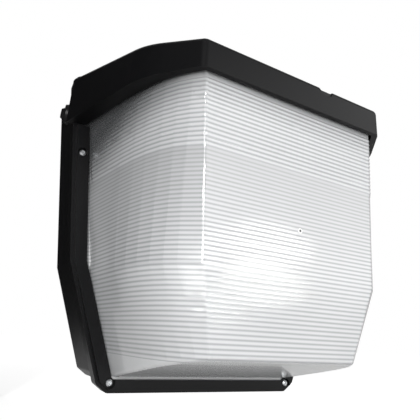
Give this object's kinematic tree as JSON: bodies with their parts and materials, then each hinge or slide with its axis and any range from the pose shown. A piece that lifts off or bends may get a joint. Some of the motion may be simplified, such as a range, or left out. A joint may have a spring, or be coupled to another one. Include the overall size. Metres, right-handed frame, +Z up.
{
  "type": "wall pack light",
  "caption": "Wall-mounted outdoor light: cast back box, hinged front housing with a sloping visor, deep ribbed chamfered lens in a U-shaped frame, lamp and gear inside.",
  "frame": {"origin": "in the back face that meets the wall, on the centre line", "axes": "+X to the right seen from the front, +Y into the wall, +Z up"},
  "size_m": [0.4272, 0.26, 0.37],
  "materials": {
    "painted_casting": "satin black powder coat",
    "zinc_steel": "zinc plated",
    "seal_rubber": "matt",
    "port_plastic": "moulded",
    "lens_clear": "moulded ribbed polycarbonate",
    "galvanised_sheet": "galvanised",
    "core_steel": "varnished laminations",
    "coil_tape": "taped winding",
    "bright_aluminium": "bright sheet",
    "gear_plastic": "moulded",
    "block_plastic": "moulded",
    "green_steel": "dyed",
    "black_insulation": "extruded",
    "white_insulation": "extruded",
    "green_insulation": "extruded",
    "porcelain": "glazed",
    "frosted_glass": "coated inside",
    "brass_cap": "nickel plated brass"
  },
  "bodies": {
    "housing": {"back_box": "painted_casting", "hinge_pins": "zinc_steel", "conduit_plugs": "painted_casting", "door_seal": "seal_rubber", "gear_plate": "galvanised_sheet", "gear_plate_screws": "zinc_steel", "ballast_core": "core_steel", "ballast_coil": "coil_tape", "capacitor": "bright_aluminium", "capacitor_strap": "galvanised_sheet", "ignitor": "gear_plastic", "terminal_block": "block_plastic", "earth_screw": "green_steel", "black_lead": "black_insulation", "white_lead": "white_insulation", "green_lead": "green_insulation", "reflector": "bright_aluminium", "reflector_screws": "zinc_steel", "socket_bracket": "galvanised_sheet", "lamp_socket": "porcelain"},
    "door": {"front_housing": "painted_casting", "port_blank": "port_plastic", "lens": "lens_clear", "lens_seal": "seal_rubber", "lens_frame": "painted_casting", "frame_screws": "zinc_steel", "screw_retainers": "port_plastic"},
    "screw_left": {"door_screw_left": "zinc_steel"},
    "screw_right": {"door_screw_right": "zinc_steel"},
    "lamp": {"lamp_bulb": "frosted_glass", "lamp_cap": "brass_cap"}
  },
  "joints": [
    {"name": "door_hinge", "type": "hinge", "parent": "housing", "child": "door", "pos_m": [0, -0.054, 0.193], "axis": [-1, 0, 0], "range_deg": [0, 95]},
    {"name": "left_screw_slide", "type": "slide", "parent": "door", "child": "screw_left", "axis": [0, -1, 0], "range_m": [0, 0.012]},
    {"name": "right_screw_slide", "type": "slide", "parent": "door", "child": "screw_right", "axis": [0, -1, 0], "range_m": [0, 0.012]},
    {"name": "lamp_turn", "type": "hinge", "parent": "housing", "child": "lamp", "pos_m": [0.103, -0.132, -0.012], "axis": [1, 0, 0], "continuous": true}
  ]
}
